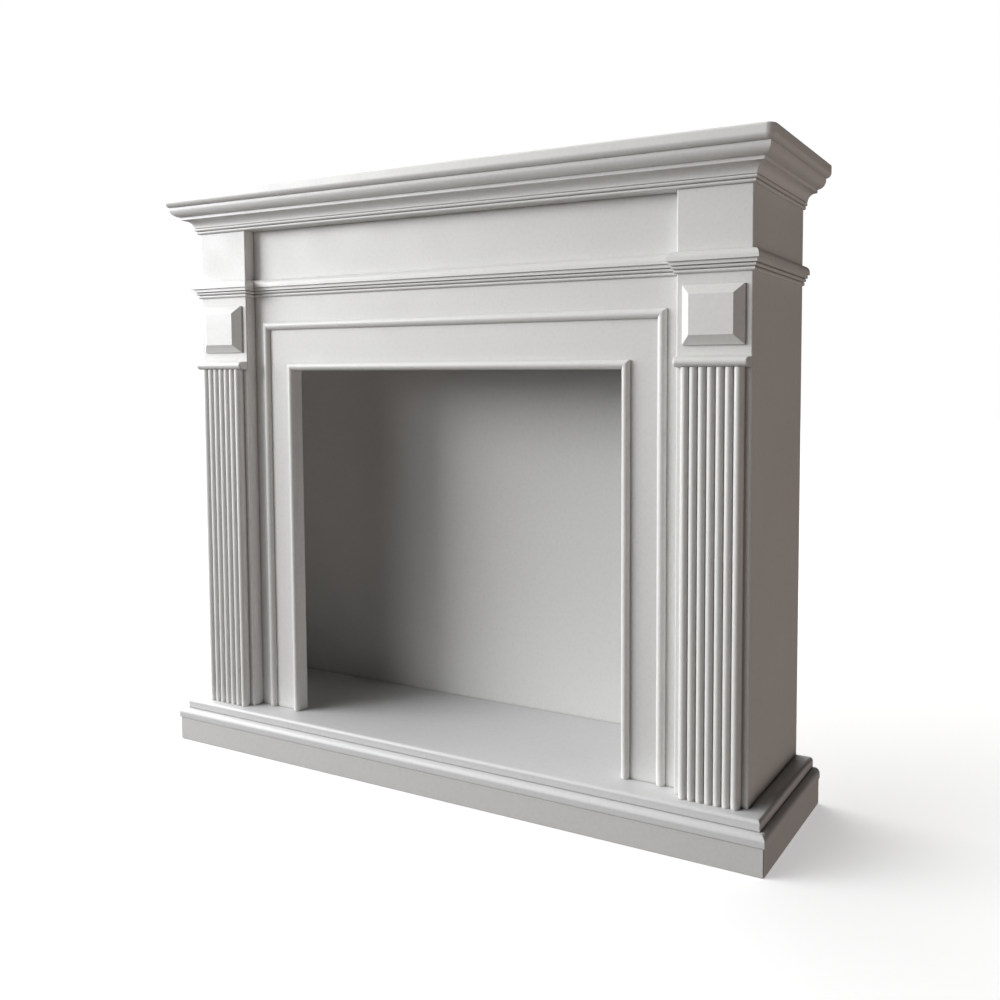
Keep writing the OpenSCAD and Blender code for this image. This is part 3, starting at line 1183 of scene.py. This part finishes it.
@dataclass
class MantelShelf(SubAssembly):
    """The shelf, routed round its front corners.

    Attributes:
        top_round: Radius of the upper edge.
        under_round: Radius of the lower edge.
        corner: Radius of the front corners, seen from above.
        least_corner: Smallest radius of a corner that is drawn in.
        edge_steps: Points on the arc of an edge.
        corner_steps: Points on the arc of a corner.
    """

    top_round: float = 4 * MM
    under_round: float = 8.5 * MM
    corner: float = 14 * MM
    least_corner: float = 0.3 * MM
    edge_steps: int = 10
    corner_steps: int = 9

    def build(self) -> None:
        """Makes the shelf: each ring's corner shares one centre, as a router leaves it."""
        low, high = box("shelf")
        wall, thick = high[1], high[2] - low[2]
        deep = 2 * self.under_round
        edge = np.array([[deep, 0], [0, 0], [0, thick], [deep, thick]])
        radii = np.array([0, self.under_round, self.top_round, 0])
        levels = filleted(edge, radii, closed=False, steps=self.edge_steps)
        plane = Plane(at=(0, 0, low[2]))
        rings = np.stack([plane.carry(self.ring(low, high, by), level) for by, level in levels])
        rings[..., 1] = np.minimum(rings[..., 1], wall)
        self.show("shelf", rings, TRIM_PAINT)

    def ring(self, low: np.ndarray, high: np.ndarray, by: float) -> np.ndarray:
        """Plan of the shelf, drawn in with concentric corner arcs and run past the wall.

        Args:
            low: Lowest corner of the CAD piece.
            high: Its highest corner.
            by: How far the plan is drawn in.

        Returns:
            The points of the outline.
        """
        radius = max(self.corner - by, self.least_corner)
        past = high[1] + 3 * self.corner
        corners = rectangle((low[0] + by, low[1] + by), (high[0] - by, past))
        return filleted(corners, np.full(4, radius), closed=True, steps=self.corner_steps)


# ---- Studio ----


@dataclass
class StudioCamera:
    """The camera.

    Attributes:
        at: Where it stands.
        heading: Degrees that it looks to the left of straight back.
        elevation: Degrees that it looks up.
        roll: Degrees that it leans.
        lens: Focal length in millimetres.
        shift: How far its frame is shifted, as a share of the frame.
    """

    at: tuple[float, float, float] = (1.0307, -1.3504, 0.6932)
    heading: float = 25.51
    elevation: float = -3.45
    roll: float = 0.26
    lens: float = 33.754
    shift: tuple[float, float] = (-0.1665, -0.0565)

    def build(self) -> None:
        """Makes the camera and sets it as the scene's."""
        turn, lift, tilt = (math.radians(a) for a in (self.heading, self.elevation, self.roll))
        ahead = Vector(
            (-math.sin(turn) * math.cos(lift), math.cos(turn) * math.cos(lift), math.sin(lift))
        )
        level = Vector((math.cos(turn), math.sin(turn), 0))
        upright = level.cross(ahead)
        right = level * math.cos(tilt) + upright * math.sin(tilt)
        up = upright * math.cos(tilt) - level * math.sin(tilt)
        data = bpy.data.cameras.new("studio_camera")
        data.lens = self.lens
        data.shift_x, data.shift_y = self.shift
        data.dof.use_dof = False
        camera = bpy.data.objects.new("studio_camera", data)
        rotation = Matrix((right, up, -ahead)).transposed()
        camera.matrix_world = Matrix.Translation(self.at) @ rotation.to_4x4()
        bpy.context.scene.collection.objects.link(camera)
        bpy.context.scene.camera = camera


@dataclass
class SoftLamp:
    """A rectangular lamp that faces a point on the object.

    Attributes:
        name: The lamp's name.
        azimuth: Degrees to the left of straight in front.
        elevation: Degrees above level.
        distance: Distance from the point it faces.
        size: Its width and height.
        power: Its power in watts.
        colour: Its linear colour.
        aim: The point it faces.
    """

    name: str
    azimuth: float
    elevation: float
    distance: float
    size: tuple[float, float]
    power: float
    colour: tuple[float, float, float] = (1.0, 1.0, 1.0)
    aim: tuple[float, float, float] = (0.0, 0.0, 0.55)

    def build(self) -> bpy.types.Object:
        """Places the lamp.

        Returns:
            The lamp's object.
        """
        turn, lift = math.radians(self.azimuth), math.radians(self.elevation)
        back = Vector(
            (-math.sin(turn) * math.cos(lift), -math.cos(turn) * math.cos(lift), math.sin(lift))
        )
        data = bpy.data.lights.new(self.name, "AREA")
        data.shape = "RECTANGLE"
        data.size, data.size_y = self.size
        data.energy = self.power
        data.color = self.colour
        lamp = bpy.data.objects.new(self.name, data)
        lamp.rotation_mode = "QUATERNION"
        lamp.rotation_quaternion = back.to_track_quat("Z", "Y")
        lamp.location = Vector(self.aim) + back * self.distance
        bpy.context.scene.collection.objects.link(lamp)
        return lamp


@dataclass
class Studio:
    """Floor, room light and lamps.

    Attributes:
        floor_size: Side of the floor.
        floor_white: Linear tone of the floor.
        floor_roughness: Roughness of the floor.
        floor_lift: Light that the floor gives off itself, to keep it pale.
        lamps: The lamps.
        glow_left: Strength of the glow from the left.
        glow_right: Strength of the bounce from the right.
        left_colour: Linear colour of the glow from the left.
        right_colour: Linear colour of the bounce from the right.
        horizon: Height over which both glows fade at the horizon, as a share of the radius.
        falloff: Power of the cosine that a glow falls off by.
    """

    floor_size: float = 40.0
    floor_white: float = 0.8
    floor_roughness: float = 0.9
    floor_lift: float = 0.45
    lamps: list[SoftLamp] = field(
        default_factory=lambda: [
            SoftLamp("left_window", 57, 18, 3.0, (1.6, 1.1), 42.0, (0.94, 0.96, 1.0)),
            SoftLamp("front_fill", 20, 10, 3.0, (1.2, 1.2), 5.0),
        ]
    )
    glow_left: float = 6.5
    glow_right: float = 0.9
    left_colour: tuple[float, float, float] = (1.0, 0.995, 0.975)
    right_colour: tuple[float, float, float] = (1.0, 0.86, 0.79)
    horizon: float = 0.06
    falloff: float = 2.0

    def build(self) -> None:
        """Lays the floor, lights the room and hangs the lamps."""
        self.floor()
        self.room()
        for lamp in self.lamps:
            lamp.build()
            LOG.info("lamp %s", lamp.name)
        view = bpy.context.scene.view_settings
        view.view_transform = "Standard"
        view.look = "None"

    def floor(self) -> None:
        """Lays a plain pale floor under the object, which only the camera sees."""
        half = self.floor_size / 2
        mesh = bpy.data.meshes.new("studio_floor")
        corners = [(-half, -half, 0), (half, -half, 0), (half, half, 0), (-half, half, 0)]
        mesh.from_pydata(corners, [], [(0, 1, 2, 3)])
        floor = bpy.data.objects.new("studio_floor", mesh)
        paper = bpy.data.materials.new("studio_paper")
        paper.use_nodes = True
        shader = Graph(paper.node_tree).first("ShaderNodeBsdfPrincipled")
        shader.inputs["Base Color"].default_value = (*[self.floor_white] * 3, 1.0)
        shader.inputs["Roughness"].default_value = self.floor_roughness
        shader.inputs["Emission Color"].default_value = (1.0, 1.0, 1.0, 1.0)
        shader.inputs["Emission Strength"].default_value = self.floor_lift
        mesh.materials.append(paper)
        floor.visible_diffuse = False
        floor.visible_glossy = False
        floor.visible_shadow = False
        bpy.context.scene.collection.objects.link(floor)

    def room(self) -> None:
        """Room light: a wide glow from the upper left, a warm bounce from the lower right."""
        world = bpy.data.worlds.new("studio_room")
        bpy.context.scene.world = world
        world.use_nodes = True
        nodes = Graph(world.node_tree)
        window = nodes.first("ShaderNodeBackground")
        window.inputs["Color"].default_value = (*self.left_colour, 1.0)
        bounce = nodes.add("ShaderNodeBackground", Color=(*self.right_colour, 1.0))
        nodes.join(self.lobe(nodes, -1.0, self.glow_left), "Value", window, "Strength")
        nodes.join(self.lobe(nodes, 1.0, self.glow_right), "Value", bounce, "Strength")
        light = nodes.add("ShaderNodeAddShader")
        nodes.join(window, "Background", light, 0)
        nodes.join(bounce, "Background", light, 1)
        backdrop = nodes.add("ShaderNodeBackground", Color=(1.0, 1.0, 1.0, 1.0))
        mixed = nodes.add("ShaderNodeMixShader")
        nodes.join(nodes.add("ShaderNodeLightPath"), "Is Camera Ray", mixed, "Fac")
        nodes.join(light, "Shader", mixed, 1)
        nodes.join(backdrop, "Background", mixed, 2)
        nodes.join(mixed, "Shader", nodes.first("ShaderNodeOutputWorld"), "Surface")

    def lobe(self, nodes: Graph, side: float, strength: float) -> bpy.types.Node:
        """A glow that falls off from one side as a power of the cosine.

        The glow from the left, side -1, is kept above the horizon and the one from the
        right, side 1, below it.

        Args:
            nodes: The world's nodes.
            side: -1 for the left, 1 for the right.
            strength: The glow's strength straight from that side.

        Returns:
            A node whose Value is the glow.
        """
        split = nodes.add("ShaderNodeSeparateXYZ")
        nodes.join(nodes.add("ShaderNodeTexCoord"), "Generated", split, 0)
        ahead = nodes.spread(split, "X", (0.0, side), (0.0, 1.0))
        fallen = nodes.combine("POWER", (ahead, "Result"), self.falloff)
        edge = side * self.horizon
        band = nodes.spread(split, "Z", (edge, -edge), (0.0, strength))
        return nodes.combine("MULTIPLY", (fallen, "Value"), (band, "Result"))


# ---- Main ----


def main() -> None:
    """Builds the studio and every sub-assembly, in order."""
    logging.basicConfig(level=logging.INFO, format="%(name)s: %(message)s")
    StudioCamera().build()
    Studio().build()
    total = 0
    for part in (
        HearthBase(),
        Carcass(),
        Piers(),
        OpeningFrames(),
        BeltMoulding(),
        CrownMoulding(),
        MantelShelf(),
    ):
        part.build()
        total += part.made
        LOG.info("%s: %d pieces", type(part).__name__, part.made)
    LOG.info("%d pieces in all", total)


if __name__ == "__main__":
    main()
